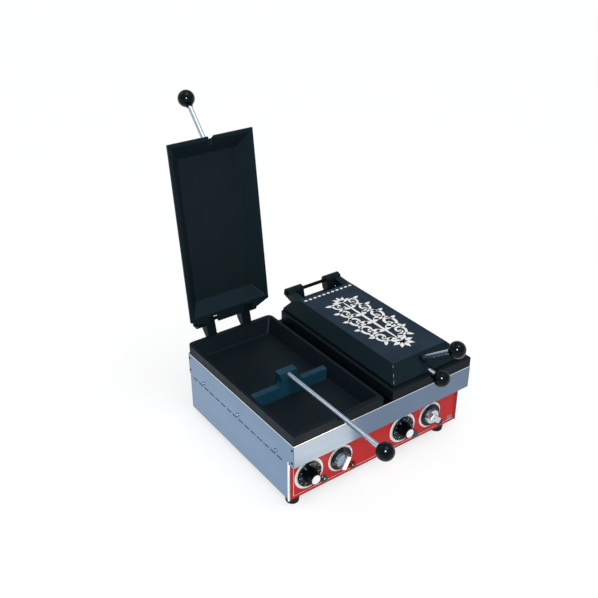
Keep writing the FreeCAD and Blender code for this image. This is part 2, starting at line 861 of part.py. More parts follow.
def lid(centre):
    base = (centre - lid_half, centre + lid_half, lid_front, lid_rear)
    z_wall = z_lid + lid_rim
    side = lid_slope_side
    top = (base[0] + side, base[1] - side, base[2] + lid_slope_front, base[3] - lid_slope_rear)
    rim = box(*base, z_lid, z_wall)
    ledge = prism(ledge_outline(centre), Z * lid_rim)
    dome = tapered(base, z_wall, top, z_lid_top)
    dome = dome.makeFillet(lid_round, edges_where(dome, lambda c: c.z > z_wall + 0.01))
    thin = lid_wall * 0.6
    inner_top = (top[0] + thin, top[1] - thin, top[2] + thin, top[3] - thin)
    inner_low = (base[0] + lid_wall, base[1] - lid_wall, base[2] + lid_wall, base[3] - lid_wall)
    deep = z_lid_top - lid_top_thick
    hollow = tapered(inner_low, z_lid, inner_top, deep)
    hollow = hollow.makeFillet(lid_round, edges_where(hollow, lambda c: c.z > z_lid + 0.01))
    y, z, way = handle_line()
    seat = Vector(centre, y, z)
    boss = rod(boss_radius, seat - way * boss_sink, way, boss_sink + boss_length)
    arm_place = lug_place + (lug_width + arm_width) / 2 + hinge_side_gap
    arms = [lid_arm(centre + side * arm_place) for side in (-1, 1)]
    solid = join([rim, ledge, dome, boss] + arms).cut(hollow)
    cuts = [rod(rod_radius + pin_fit, seat - way * 0.5, way, boss_length + 1)]
    cuts.append(rod(pin_radius + run_fit, Vector(centre - lid_half, hinge_y, hinge_z), X, 2 * lid_half))
    slot_half = slot_width / 2
    slot_top = z_lid + lid_slot_height
    slot_back = lid_front + lid_wall + lid_slope_front * 0.6
    slot = box(centre - slot_half, centre + slot_half, lid_front - 1, slot_back, z_lid - 1, slot_top)

    def at_slot_roof(c):
        return c.z > slot_top - 0.01 and abs(c.x - centre) > 1

    slot = slot.makeFillet(lid_slot_round, edges_where(slot, at_slot_roof))
    cuts.append(slot)
    for side in (-1, 1):
        x = centre + side * lug_place
        half = lug_width / 2 + hinge_side_gap
        cuts.append(box(x - half, x + half, lid_rear, hinge_y, z_lid - 1, z_lid + lid_rim + 1))
    return solid.cut(cuts)


def ball_on(end, way):
    # Ball knob whose flat face is at end, with the rod entering it from the back
    ball = Part.makeSphere(ball_radius, end + way * (ball_radius - ball_flat))
    return ball.cut(rod(ball_radius, end - way * ball_radius, way, ball_radius))


def ball_hole(end, way):
    return rod(rod_radius + pin_fit, end - way * (neck_length + 1), way, neck_length + ball_bore + 1)


def handle_rod(centre):
    y, z, way = handle_line()
    reach = handle_length - ball_radius + ball_flat + ball_bore - 1
    return rod(rod_radius, Vector(centre, y, z), way, reach)


def handle_ball(centre):
    y, z, way = handle_line()
    end = Vector(centre, y, z) + way * (handle_length - ball_radius + ball_flat)
    neck = Part.makeCone(neck_radius, neck_tip_radius, neck_length + 1, end + way, way * -1)
    return join([ball_on(end, way), neck]).cut(ball_hole(end, way))


def hinge_pins():
    reach = lug_place + lug_width / 2 + hinge_side_gap + arm_width + retainer_thick + 3
    return group([rod(pin_radius, Vector(c - reach, hinge_y, hinge_z), X, 2 * reach) for c in units.values()])


def pin_rings():
    rings = []
    inner = lug_place + lug_width / 2 + hinge_side_gap + arm_width + hinge_side_gap
    for centre in units.values():
        for side in (-1, 1):
            start = Vector(centre + side * inner, hinge_y, hinge_z)
            ring = rod(retainer_radius, start, X * side, retainer_thick)
            rings.append(ring.cut(rod(pin_radius + pin_fit, start - X * side, X * side, retainer_thick + 2)))
    return group(rings)


# Scrapers

def scraper_blade(centre, shift):
    z0 = z_floor + scraper_lift
    face = scraper_face + shift
    draft = well_draft_side / pan_depth
    low_half = pan_width / 2 - rim_side - well_draft_side - wing_clearance
    top_half = low_half + draft * wing_height
    z_wing = z0 + wing_height
    z_top = z0 + block_height
    round_x = block_half + block_shoulder
    y_far = block_back + shift + 5
    bend = block_shoulder * (1 - math.sqrt(0.5))
    corners = [(-low_half, z0), (low_half, z0), (top_half, z_wing), (round_x, z_wing)]
    shoulder = (block_half + bend, z_wing + bend)
    crown = [(block_half, z_wing + block_shoulder), (block_half, z_top)]

    def at(x, z):
        return Vector(centre + x, face - 5, z)

    def line(a, b):
        return Part.LineSegment(at(*a), at(*b)).toShape()

    def mirror(p):
        return (-p[0], p[1])

    outline = [line(a, b) for a, b in zip(corners, corners[1:])]
    outline.append(Part.Arc(at(*corners[3]), at(*shoulder), at(*crown[0])).toShape())
    outline.append(line(crown[0], crown[1]))
    outline.append(line(crown[1], mirror(crown[1])))
    outline.append(line(mirror(crown[1]), mirror(crown[0])))
    left_arc = [at(*mirror(p)) for p in (crown[0], shoulder, corners[3])]
    outline.append(Part.Arc(*left_arc).toShape())
    outline.append(line(mirror(corners[3]), mirror(corners[2])))
    outline.append(line(mirror(corners[2]), corners[0]))
    front = Part.Face(Part.Wire(outline)).extrude(Y * (y_far - face + 5))

    def slab(x0, x1, thick, back):
        lean = scraper_lean * block_height
        points = [(x0, face, z0), (x0, face + lean, z_top)]
        if back:
            points += [(x0, back, z_top), (x0, back, z0)]
        else:
            points += [(x0, face + lean + thick, z_top), (x0, face + thick, z0)]
        return prism(points, X * (x1 - x0))

    plate = front.common(slab(centre - top_half, centre + top_half, wing_thick, None))
    block = slab(centre - block_half, centre + block_half, 0, block_back + shift)
    tool = join([plate, block])
    y_rod = face + scraper_lean * (z_rod - z0)
    socket = rod(rod_radius + pin_fit, Vector(centre, y_rod - 20, z_rod), Y, 20 + rod_sink + 0.5)
    return tool.cut(socket)


def scraper_rod_start(shift):
    return scraper_face + shift + scraper_lean * (z_rod - z_floor - scraper_lift) + rod_sink


def scraper_ball_flat(shift):
    return shift - scraper_ball_out + ball_radius - ball_flat


def scraper_rod(centre, shift):
    start = scraper_rod_start(shift)
    end = scraper_ball_flat(shift) - ball_bore + 1
    return rod(rod_radius, Vector(centre, end, z_rod), Y, start - end)


def scraper_ball(centre, shift):
    end = Vector(centre, scraper_ball_flat(shift), z_rod)
    toward = Y * -1
    return ball_on(end, toward).cut(ball_hole(end, toward))


# Mains side

def cable_gland():
    wall = Vector(gland_x, case_rear, z_gland)
    body = hexagon(2 * gland_hex, wall, Y, gland_collar)
    thread = rod(gland_thread, wall - Y * gland_tail, Y, gland_tail + 1)
    dome_y = gland_collar - 1
    dome = Part.makeCone(gland_hex * 0.92, gland_hex * 0.66, gland_dome, wall + Y * dome_y, Y)
    tip = case_rear + dome_y + gland_dome
    dome = dome.makeFillet(2.0, edges_where(dome, lambda c: c.y > tip - 0.1))
    bore = rod(gland_bore, wall - Y * (gland_tail + 1), Y, gland_tail + dome_y + gland_dome + 2)
    return join([body, thread, dome]).cut(bore)


def gland_nut():
    start = Vector(gland_x, case_rear - sheet, z_gland)
    nut = hexagon(2 * gland_hex, start, Y * -1, gland_nut_thick)
    return nut.cut(rod(gland_thread + pin_fit, start + Y, Y * -1, gland_nut_thick + 3))


def terminal_block():
    x1 = right_foot_x - foot_radius
    x0 = x1 - terminal_length
    y1 = case_rear - sheet - flange - terminal_gap
    y0 = y1 - terminal_depth
    z0 = z_case + sheet
    block = box(x0, x1, y0, y1, z0, z0 + terminal_height)
    pitch = terminal_length / terminal_poles
    half = pitch * 0.3
    low = z0 + terminal_height * 0.3
    high = z0 + terminal_height * 0.7
    middle_y = (y0 + y1) / 2
    middle_z = z0 + terminal_height / 2
    cuts = []
    for pole in range(terminal_poles):
        x = x0 + pitch * (pole + 0.5)
        cuts.append(box(x - half, x + half, y0 - 1, y0 + terminal_depth * 0.3, low, high))
        cuts.append(rod(terminal_screw, Vector(x, middle_y, middle_z), Z, terminal_height))
    return block.cut(cuts)


# Assembly

def build():
    parts = {
        "top_tray": top_tray(),
        "left_side_panel": left_side_panel(),
        "right_side_panel": right_side_panel(),
        "rear_panel": rear_panel(),
        "base_plate": base_plate(),
        "control_panel": control_panel(),
        "blank_plate": blank_plate(),
        "feet": feet(),
        "foot_bolts": foot_bolts(),
        "side_screws": side_screws(),
        "corner_rivets": corner_rivets(),
        "scale_rings": scale_rings(),
        "control_nuts": control_nuts(),
        "green_lamps": lamps(green_offset),
        "red_lamps": lamps(red_offset),
        "lamp_nuts": lamp_nuts(),
        "pan_studs": pan_studs(),
        "pan_nuts": pan_nuts(),
        "hinge_pins": hinge_pins(),
        "pin_rings": pin_rings(),
        "cable_gland": cable_gland(),
        "gland_nut": gland_nut(),
        "terminal_block": terminal_block(),
    }
    bar_angles = {"left": left_bar_angle, "right": right_bar_angle}
    for name, centre in units.items():
        parts[name + "_pan"] = pan(centre)
        parts[name + "_heating_element"] = heating_element(centre)
        parts[name + "_clamp_plate"] = clamp_plate(centre)
        parts[name + "_heat_shield"] = heat_shield(centre)
        cover = {"lid": lid(centre), "handle_rod": handle_rod(centre), "handle_ball": handle_ball(centre)}
        for piece, shape in cover.items():
            parts[name + "_" + piece] = swing(shape) if name == "left" else shape
        shift = 0.0 if name == "left" else scraper_push
        parts[name + "_scraper_blade"] = scraper_blade(centre, shift)
        parts[name + "_scraper_rod"] = scraper_rod(centre, shift)
        parts[name + "_scraper_ball"] = scraper_ball(centre, shift)
        dial_x = centre + dial_offset
        switch_x = centre + switch_offset
        parts[name + "_thermostat"] = control_block(dial_x, control_depth, 2)
        parts[name + "_switch"] = control_block(switch_x, control_depth * 0.8, 3)
        parts[name + "_dial_knob"] = dial_knob(dial_x)
        parts[name + "_dial_cap"] = dial_cap(dial_x)
        parts[name + "_dial_shaft"] = knob_shaft(dial_x)
        parts[name + "_switch_skirt"] = switch_skirt(switch_x)
        parts[name + "_switch_grip"] = switch_grip(switch_x, bar_angles[name])
        parts[name + "_switch_shaft"] = knob_shaft(switch_x)
    return parts


parts = build()
whole = Part.makeCompound(list(parts.values())).BoundBox
middle = Vector(0, -whole.Center.y, 0)
os.makedirs("parts", exist_ok=True)
for name, shape in parts.items():
    shape.translate(middle)
    shape.exportStep("parts/" + name + ".step")
    print(name, "solids", len(shape.Solids), "valid", shape.isValid(), "volume", round(shape.Volume, 1))
print("front face at y", round(middle.y, 4), "hinge at y", round(hinge_y + middle.y, 4), "z", hinge_z)
print("controls at z", z_control, "dial x", [round(c + dial_offset, 3) for c in units.values()])
print("box", [round(v, 3) for v in (whole.XMin, whole.XMax, whole.YMin, whole.YMax, whole.ZMin, whole.ZMax)])
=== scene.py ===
# %% [markdown]
# # A twin pan baking machine
# The metal shapes come from the CAD frame, in metres, already in place. This lesson gives each one the
# finish that the real piece has, with some light and shade painted into the colours, then models the small
# things that the frame leaves out: the print on the lids, the marks on the dials, the hem of the side
# panel with its painted highlight.

# %% Load the frame
import math

import bpy
from mathutils import Matrix, Vector


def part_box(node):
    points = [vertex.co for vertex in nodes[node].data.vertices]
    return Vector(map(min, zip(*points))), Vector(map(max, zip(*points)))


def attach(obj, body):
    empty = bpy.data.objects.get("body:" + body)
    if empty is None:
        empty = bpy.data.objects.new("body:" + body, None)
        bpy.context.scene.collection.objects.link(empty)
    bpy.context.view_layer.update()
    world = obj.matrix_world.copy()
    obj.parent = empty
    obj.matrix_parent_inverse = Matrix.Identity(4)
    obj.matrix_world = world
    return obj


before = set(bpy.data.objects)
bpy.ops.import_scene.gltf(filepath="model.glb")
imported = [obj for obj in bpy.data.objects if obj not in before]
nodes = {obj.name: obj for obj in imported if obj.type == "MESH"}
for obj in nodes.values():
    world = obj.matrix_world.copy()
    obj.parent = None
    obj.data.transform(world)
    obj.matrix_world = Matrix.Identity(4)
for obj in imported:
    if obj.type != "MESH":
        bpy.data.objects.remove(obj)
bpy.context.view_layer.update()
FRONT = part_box("top_tray")[0].y
print("the tray's front face is at y", round(FRONT, 4))

# %% [markdown]
# ## Small helpers
# Colours are written as the hex values a colour picker shows, so one function turns them to the
# linear numbers that shaders want. One more adds a node with its settings and feeds its inputs: an
# output of another node is linked, and anything else is a plain value. Patterns are sized in
# millimetres: a noise of scale 1000 / size repeats about once per size. Blender works in metres, so a
# value times MM is in metres, and a plain size in this lesson is in millimetres.

# %% Colour, node and material helpers
MM = 0.001


def linear(hex_colour):
    values = [int(hex_colour[i:i + 2], 16) / 255 for i in (1, 3, 5)]
    return [v / 12.92 if v <= 0.04045 else ((v + 0.055) / 1.055) ** 2.4 for v in values] + [1.0]


def feed(tree, node, inputs):
    for name, value in inputs.items():
        if isinstance(value, bpy.types.NodeSocket):
            tree.links.new(value, node.inputs[name])
        else:
            node.inputs[name].default_value = value


def add(tree, kind, inputs=None, **settings):
    node = tree.nodes.new(kind)
    for name, value in settings.items():
        setattr(node, name, value)
    feed(tree, node, inputs or {})
    return node


def start_material(name):
    material = bpy.data.materials.new(name)
    material.use_nodes = True
    tree = material.node_tree
    return material, tree, tree.nodes["Principled BSDF"]


def per_mm(size):
    return 1.0 / (size * MM)


print("helpers ready, a 2 mm grain has noise scale", per_mm(2))

# %% [markdown]
# ## Brushed stainless steel
# The tray and the case are folded from brushed sheet. Brushing leaves fine scratches along the sheet, so
# the pattern is a noise stretched very long along the horizontal and squeezed upwards. The scratches are
# drawn about 1.5 mm apart, coarser than real ones, so that they show. Between the pans the deck is painted
# dark, partly as painted shade in the deep channel and partly as baked-on dirt. Painting it by hand would
# work too, but the deck is the one face at its height, so a mask that picks a plane finds it.

# %% Stainless steel
SCRATCH = 1.5
SCRATCH_LENGTH = 160
SCRATCH_DEPTH = 0.1 * MM
SMUDGE = 60
PLANE_BAND = 0.15 * MM
NOISE_RANGE = {"From Min": 0.3, "From Max": 0.7}
UP = Vector((0, 0, 1))
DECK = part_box("top_tray")[1].z


def in_plane(tree, place, way, level):
    reach = add(tree, "ShaderNodeVectorMath", {0: place, 1: way}, operation="DOT_PRODUCT")
    band = {0: reach.outputs["Value"], 1: level, 2: PLANE_BAND}
    return add(tree, "ShaderNodeMath", band, operation="COMPARE").outputs[0]


def brushed(name, colour, smudge, rough_low, rough_high, deck_dirt_and_shade=None):
    material, tree, shader = start_material(name)
    place = add(tree, "ShaderNodeTexCoord").outputs["Object"]
    long, fine = per_mm(SCRATCH_LENGTH), per_mm(SCRATCH)
    drawn = add(tree, "ShaderNodeMapping", {"Vector": place, "Scale": (long, long, fine)}).outputs[0]
    noise = {"Vector": drawn, "Scale": 1.0, "Detail": 4.0}
    scratches = add(tree, "ShaderNodeTexNoise", noise).outputs["Fac"]
    limits = {"Value": scratches, **NOISE_RANGE, "To Min": rough_low, "To Max": rough_high}
    rough = add(tree, "ShaderNodeMapRange", limits).outputs["Result"]
    raised = {"Height": scratches, "Strength": 0.12, "Distance": SCRATCH_DEPTH}
    bump = add(tree, "ShaderNodeBump", raised).outputs["Normal"]
    cloud = add(tree, "ShaderNodeTexNoise", {"Vector": place, "Scale": per_mm(SMUDGE), "Detail": 3.0})
    tones = {"Factor": cloud.outputs["Fac"], "A": linear(colour), "B": linear(smudge)}
    tint = add(tree, "ShaderNodeMix", tones, data_type="RGBA").outputs["Result"]
    # The deck is painted dark: partly painted shade in the deep channel between the pans, partly baked-on
    # dirt
    if deck_dirt_and_shade:
        dirt_and_shade = {"Factor": in_plane(tree, place, UP, DECK), "A": tint, "B": linear(deck_dirt_and_shade)}
        tint = add(tree, "ShaderNodeMix", dirt_and_shade, data_type="RGBA").outputs["Result"]
    feed(tree, shader, {"Metallic": 1.0, "Base Color": tint, "Roughness": rough, "Normal": bump})
    return material


# Brushed stainless sheet: blue-grey, with soft streaks along the sheet; on the tray the deck is dark,
# partly painted shade and partly dirt
STEEL_BLUE = ("#6e7f96", "#65768c")
stainless = brushed("brushed_stainless_steel", *STEEL_BLUE, 0.28, 0.40)
tray_steel = brushed("brushed_stainless_steel_with_dirty_shaded_deck", *STEEL_BLUE, 0.28, 0.40, "#12171a")
# Zinc plate is a duller grey, blackened steel is nearly black, and the element's sheath is brown from heat
zinc = brushed("zinc_plated_steel", "#70777d", "#5f666c", 0.32, 0.45)
dark_steel = brushed("blackened_steel", "#14181b", "#0c0f11", 0.4, 0.55)
sheath = brushed("oxidised_element_sheath", "#4b443e", "#37312d", 0.5, 0.65)
print("brushed metals:", [m.name for m in (stainless, tray_steel, zinc, dark_steel, sheath)])

# %% [markdown]
# ## Seasoned cast iron
# Pans and lids are sand-cast iron, darkened by oil that has been baked on. Sand leaves a fine even grain,
# so a small noise gives the bump. Baked oil is patchy: a larger noise moves the roughness and the tint.
# Its film is blue-black, so the reflection is tinted too. The flat top and the flat inside of a lid, and
# the flat tops of the scraper, are painted lighter than the walls: painted light, where the lamps fall on
# those faces.

# %% Cast iron
SAND_GRAIN = 1.6
SAND_DEPTH = 0.3 * MM
OIL_PATCH = 55
OIL_RANGE = {"From Min": 0.38, "From Max": 0.66}
OIL_FILM = {"Specular IOR Level": 0.11, "Specular Tint": linear("#a3c4e0")}
OPEN_ANGLE = 97
LID_TOP = 207.5 * MM
LID_THICK = 5.5 * MM
HINGE = Vector((0, FRONT + 405 * MM, 204.5 * MM))
BLADE_TOPS = (164.9 * MM, 185.9 * MM)


def cast(name, colours, rough_low, rough_high, grain, lit_faces=()):
    material, tree, shader = start_material(name)
    place = add(tree, "ShaderNodeTexCoord").outputs["Object"]
    sand = add(tree, "ShaderNodeTexNoise", {"Vector": place, "Scale": per_mm(SAND_GRAIN), "Detail": 2.0})
    raised = {"Height": sand.outputs["Fac"], "Strength": grain, "Distance": SAND_DEPTH}
    bump = add(tree, "ShaderNodeBump", raised).outputs["Normal"]
    patches = {"Vector": place, "Scale": per_mm(OIL_PATCH), "Detail": 4.0, "Roughness": 0.6}
    oil = add(tree, "ShaderNodeTexNoise", patches).outputs["Fac"]
    limits = {"Value": oil, **NOISE_RANGE, "To Min": rough_low, "To Max": rough_high}
    rough = add(tree, "ShaderNodeMapRange", limits).outputs["Result"]
    spread = add(tree, "ShaderNodeMapRange", {"Value": oil, **OIL_RANGE}).outputs["Result"]
    tones = {"Factor": spread, "A": linear(colours[0]), "B": linear(colours[1])}
    tint = add(tree, "ShaderNodeMix", tones, data_type="RGBA").outputs["Result"]
    # Each of these faces gets its own lighter colours: painted light where the lamps fall on it
    for way, level, lit_colours in lit_faces:
        tones = {"Factor": spread, "A": linear(lit_colours[0]), "B": linear(lit_colours[1])}
        flat = add(tree, "ShaderNodeMix", tones, data_type="RGBA").outputs["Result"]
        choice = {"Factor": in_plane(tree, place, way, level), "A": tint, "B": flat}
        tint = add(tree, "ShaderNodeMix", choice, data_type="RGBA").outputs["Result"]
    feed(tree, shader, {**OIL_FILM, "Base Color": tint, "Roughness": rough, "Normal": bump})
    return material


def lid_iron(name, angle):
    way = Vector((0, math.sin(math.radians(angle)), math.cos(math.radians(angle))))
    top_level = way.dot(HINGE) + LID_TOP - HINGE.z
    # The flat top and the flat inside are painted lighter than the walls: painted light where the lamps
    # fall on them
    top = (way, top_level, ("#1b2b38", "#172531"))
    inside = (way, top_level - LID_THICK, ("#131d1f", "#10191c"))
    return cast(name, ("#0d1b20", "#0f1a1e"), 0.4, 0.55, 0.3, (top, inside))


# Seasoned iron: blue-black and grainy, with a soft sheen. The scraper's film is the bluest
iron_pan = cast("seasoned_cast_iron_pan", ("#0b1419", "#0f1518"), 0.42, 0.56, 0.35)
iron_lid = lid_iron("seasoned_cast_iron_closed_lid", 0)
iron_open_lid = lid_iron("seasoned_cast_iron_open_lid", OPEN_ANGLE)
# The scraper's flat tops are painted lighter than its sides: painted light from above
lit_blade_tops = [(UP, level, ("#203d4e", "#1a3444")) for level in BLADE_TOPS]
iron_blade = cast("seasoned_cast_iron_scraper", ("#0d3345", "#0a2938"), 0.36, 0.5, 0.3, lit_blade_tops)
print("castings:", [m.name for m in (iron_pan, iron_lid, iron_open_lid, iron_blade)])

# %% [markdown]
# ## Enamel and phenolic
# These are smooth. The red panel is stoved enamel, sprayed and baked, with a faint orange-peel ripple.
# The ball knobs and dials are phenolic, pressed in a polished mould, so they are black and glossy. One
# function sets the smooth base, and a noise adds the little unevenness that each surface has.

# %% Smooth finishes
RIPPLE_DEPTH = 0.1 * MM
DULL = {"Specular IOR Level": 0.15}
GLOSSY_BLACK = {"Specular IOR Level": 0.2, "Specular Tint": linear("#b9d3df")}


def smooth(name, colour, shade, roughness, ripple, ripple_size, sockets=None):
    material, tree, shader = start_material(name)
    place = add(tree, "ShaderNodeTexCoord").outputs["Object"]
    wave = add(tree, "ShaderNodeTexNoise", {"Vector": place, "Scale": per_mm(ripple_size), "Detail": 2.0})
    tones = {"Factor": wave.outputs["Fac"], "A": linear(colour), "B": linear(shade)}
    tint = add(tree, "ShaderNodeMix", tones, data_type="RGBA").outputs["Result"]
    raised = {"Height": wave.outputs["Fac"], "Strength": ripple, "Distance": RIPPLE_DEPTH}
    bump = add(tree, "ShaderNodeBump", raised).outputs["Normal"]
    feed(tree, shader, {**(sockets or {}), "Base Color": tint, "Roughness": roughness, "Normal": bump})
    return material


# Stoved enamel: a strong even red
enamel = smooth("red_stoved_enamel", "#bf201e", "#b31b1a", 0.4, 0.15, 6, DULL)
# Pressed phenolic: deep black with one sharp bright point
phenolic = smooth("black_phenolic_moulding", "#04070b", "#060a0e", 0.1, 0.03, 9, GLOSSY_BLACK)
print("smooth finishes:", enamel.name, phenolic.name)

# %% [markdown]
# ## Plastics, rubber and ceramic
# The gland and the switch bodies are nylon from a matt mould, and the feet are rubber. The dial caps and
# the scale rings are white ABS from a smoother mould. The terminal block is steatite, pressed and fired.
# They need no pattern of their own, so the same function serves, with a finer and stronger ripple for
# the matt ones.

# %% Plastics, rubber and ceramic
# Nylon and rubber: black without shine, the rubber dullest
moulding = smooth("black_nylon_moulding", "#17181a", "#1e1f21", 0.5, 0.3, 1.2)
rubber = smooth("black_rubber", "#101112", "#18191a", 0.7, 0.4, 1.5, DULL)
# ABS and steatite: white, the moulded one with a sheen and the fired one chalky
white_plastic = smooth("white_abs_moulding", "#eceeee", "#dfe3e5", 0.35, 0.08, 5)
ceramic = smooth("white_steatite", "#d9d5cb", "#cbc6bb", 0.55, 0.2, 2)
print("moulded and fired:", [m.name for m in (moulding, rubber, white_plastic, ceramic)])

# %% [markdown]
# ## Bright metal
# Rods are ground and polished, and the selector grips are plated with chrome. The hem and the fold of the
# sheet and one corner of the closed lid get a bright metal, as a painted highlight where those round edges
# catch the light. A metal's base colour tints what it mirrors, and its roughness says how sharp the mirror
# is.

# %% Bright metal
METAL = {"Metallic": 1.0}
# Polished and plated metal, and two bright metals that are painted highlights on round edges: each mirrors
# the room, the smoother the sharper
polished = smooth("polished_steel_rod", "#bccad5", "#acbac6", 0.27, 0.06, 7, METAL)
chrome = smooth("chrome_plate", "#c9d6df", "#b5c4cf", 0.22, 0.03, 12, METAL)
highlight_steel = smooth("steel_painted_highlight", "#eef2f4", "#dfe6ea", 0.3, 0.05, 4, METAL)
iron_edge_highlight = smooth("iron_edge_painted_highlight", "#6f8491", "#637783", 0.4, 0.1, 3, METAL)
print("bright metals:", [m.name for m in (polished, chrome, highlight_steel, iron_edge_highlight)])

# %% [markdown]
# ## Small plate, lamp lenses and inks
# The small plate on the red panel is anodised, the lamp lenses are moulded acrylic, and the inks are
# screen-printed. The lamps are off, so a lens needs no light of its own: a dark colour with a clear
# gloss reads as a thick tinted lens.

# %% Plate, lenses and inks
# Anodised plate: a flat brown with a soft sheen
plate = smooth("brown_anodised_plate", "#8f6a64", "#7d5a55", 0.4, 0.1, 4)
# Acrylic: a dark colour under a clear gloss
green_lens = smooth("green_acrylic_lens", "#0d4a50", "#0a3c44", 0.15, 0.03, 8)
red_lens = smooth("dark_red_acrylic_lens", "#5c1012", "#480b0c", 0.15, 0.03, 8)
# Inks: flat colour, and on the dials a white that has worn to grey
ink = smooth("black_printing_ink", "#1b1c1e", "#26282a", 0.5, 0.1, 2)
# This white ink also draws the painted highlight along the red panel's border
white_ink_and_highlight = smooth("white_printing_ink_and_painted_highlight", "#e9eaea", "#d9d7d6", 0.5, 0.1, 2, DULL)
grey_ink = smooth("worn_white_printing_ink", "#b4babe", "#a5abb0", 0.5, 0.1, 2, DULL)
print("plate, lenses and inks:", [m.name for m in (plate, green_lens, red_lens, ink, white_ink_and_highlight, grey_ink)])

# %% [markdown]
# ## Give each node its finish
# A node keeps the mesh that the frame made. Only its material slot changes, picked by the name of the
# piece, so that left and right match. The two lids have one each, because one of them stands open.

# %% Assign finishes to the frame
FINISHES = {
    "top_tray": tray_steel, "side_panel": stainless, "rear_panel": stainless, "base_plate": stainless,
    "heat_shield": stainless, "corner_rivets": dark_steel, "control_panel": enamel, "blank_plate": plate,
    "feet": rubber, "foot_bolts": zinc, "side_screws": stainless, "scale_rings": white_plastic,
    "control_nuts": zinc, "green_lamps": green_lens, "red_lamps": red_lens, "lamp_nuts": zinc,
    "pan_studs": zinc, "pan_nuts": zinc, "clamp_plate": zinc, "hinge_pins": dark_steel,
    "pin_rings": dark_steel, "cable_gland": moulding, "gland_nut": moulding, "terminal_block": ceramic,
    "pan": iron_pan, "right_lid": iron_lid, "left_lid": iron_open_lid, "scraper_blade": iron_blade,
    "heating_element": sheath, "thermostat": moulding, "switch": moulding, "handle_rod": polished,
    "scraper_rod": polished, "handle_ball": phenolic, "scraper_ball": phenolic, "dial_knob": phenolic,
    "dial_cap": white_plastic, "dial_shaft": zinc, "switch_skirt": phenolic, "switch_grip": chrome,
    "switch_shaft": zinc,
}
for name, node in nodes.items():
    piece = name.removeprefix("left_").removeprefix("right_")
    node.data.materials.clear()
    node.data.materials.append(FINISHES[name] if name in FINISHES else FINISHES[piece])
print("finished nodes:", len(nodes))

# %% [markdown]
# ## Tools for thin printed shapes
# Ink on the lids and dials is modelled as flat shapes a fraction of a millimetre thick, drawn in a flat
# plane and then laid on the part. An image on the surface would be lighter, but a shape keeps sharp
# edges from close by. It starts as a primitive, is trimmed in edit mode, and is pulled up to its
# thickness.

# %% Flat shapes
INK = 0.2 * MM
SUNK = 0.25 * INK


def start_edit(obj):
    bpy.ops.object.select_all(action="DESELECT")
    obj.select_set(True)
    bpy.context.view_layer.objects.active = obj
    bpy.ops.object.mode_set(mode="EDIT")
    bpy.ops.mesh.select_all(action="SELECT")


def end_edit():
    bpy.ops.object.mode_set(mode="OBJECT")
    return bpy.context.object


def pick_vertices(obj, test):
    start_edit(obj)
    bpy.ops.mesh.select_all(action="DESELECT")
    end_edit()
    for vertex in obj.data.vertices:
        vertex.select = test(vertex.co)
    bpy.ops.object.mode_set(mode="EDIT")


def thicken(obj):
    start_edit(obj)
    bpy.ops.mesh.remove_doubles(threshold=0.01 * MM)
    bpy.ops.mesh.extrude_region_move(TRANSFORM_OT_translate={"value": (0, 0, INK)})
    bpy.ops.mesh.select_all(action="SELECT")
    bpy.ops.mesh.normals_make_consistent(inside=False)
    return end_edit()


def disc(corners, width, height):
    bpy.ops.object.select_all(action="DESELECT")
    bpy.ops.mesh.primitive_circle_add(vertices=corners, radius=0.5 * MM, fill_type="NGON")
    obj = bpy.context.object
    start_edit(obj)
    bpy.ops.transform.resize(value=(width, height, 1))
    return end_edit()


print("ink is", INK / MM, "mm thick and sunk by", SUNK / MM)

# %% [markdown]
# ## Tools for copies
# A shape that repeats is modelled once. Each copy gets its own mesh, a place, a turn and a size, and the
# copies are joined to one piece. A mirrored copy is inside out, so the faces are turned outwards again.
# The piece is then laid where it belongs, and its place is applied to its mesh.

# %% Copy, join and lay
def copy_to(source, x, y, turn=0.0, scale=(1, 1)):
    copy = source.copy()
    copy.data = source.data.copy()
    bpy.context.scene.collection.objects.link(copy)
    copy.location = (x * MM, y * MM, 0)
    copy.rotation_euler = (0, 0, math.radians(turn))
    copy.scale = (scale[0], scale[1], 1)
    return copy


def join_as(name, pieces, material):
    bpy.ops.object.select_all(action="DESELECT")
    for piece in pieces:
        piece.select_set(True)
    bpy.context.view_layer.objects.active = pieces[0]
    bpy.ops.object.transform_apply(location=True, rotation=True, scale=True)
    bpy.ops.object.join()
    whole = bpy.context.object
    start_edit(whole)
    bpy.ops.mesh.normals_make_consistent(inside=False)
    end_edit()
    whole.name = name
    whole.data.name = name
    whole.data.materials.clear()
    whole.data.materials.append(material)
    return whole


def lay(obj, matrix):
    obj.matrix_world = matrix @ obj.matrix_world
    bpy.ops.object.select_all(action="DESELECT")
    obj.select_set(True)
    bpy.context.view_layer.objects.active = obj
    bpy.ops.object.transform_apply(location=True, rotation=True, scale=True)
    return obj


def discard(*objects):
    for obj in objects:
        bpy.data.objects.remove(obj)


print("meshes before the new pieces:", len(bpy.data.meshes))

# %% [markdown]
# ## Ornament for the lids: leaf, scroll and dot
# The lids carry a white stencilled ornament, scrolls and leaves in pairs up a stem. A leaf is a disc
# stretched long with its tip drawn out. A scroll is one short edge spun about a centre, then about a
# nearer one, so that it curls in. A dot closes each curl.

# %% Leaf, scroll and dot
LEAF_TIP = 0.16
FIRST_TURN = math.radians(190)
SECOND_TURN = math.radians(210)
INNER_CENTRE = 0.45


def make_leaf(length, width):
    leaf = disc(20, length, width)
    half = length / 2 * MM
    pick_vertices(leaf, lambda co: co.x > 0.98 * half)
    bpy.ops.transform.translate(value=(LEAF_TIP * length * MM, 0, 0))
    end_edit()
    start_edit(leaf)
    bpy.ops.transform.translate(value=(half, 0, 0))
    end_edit()
    return thicken(leaf)


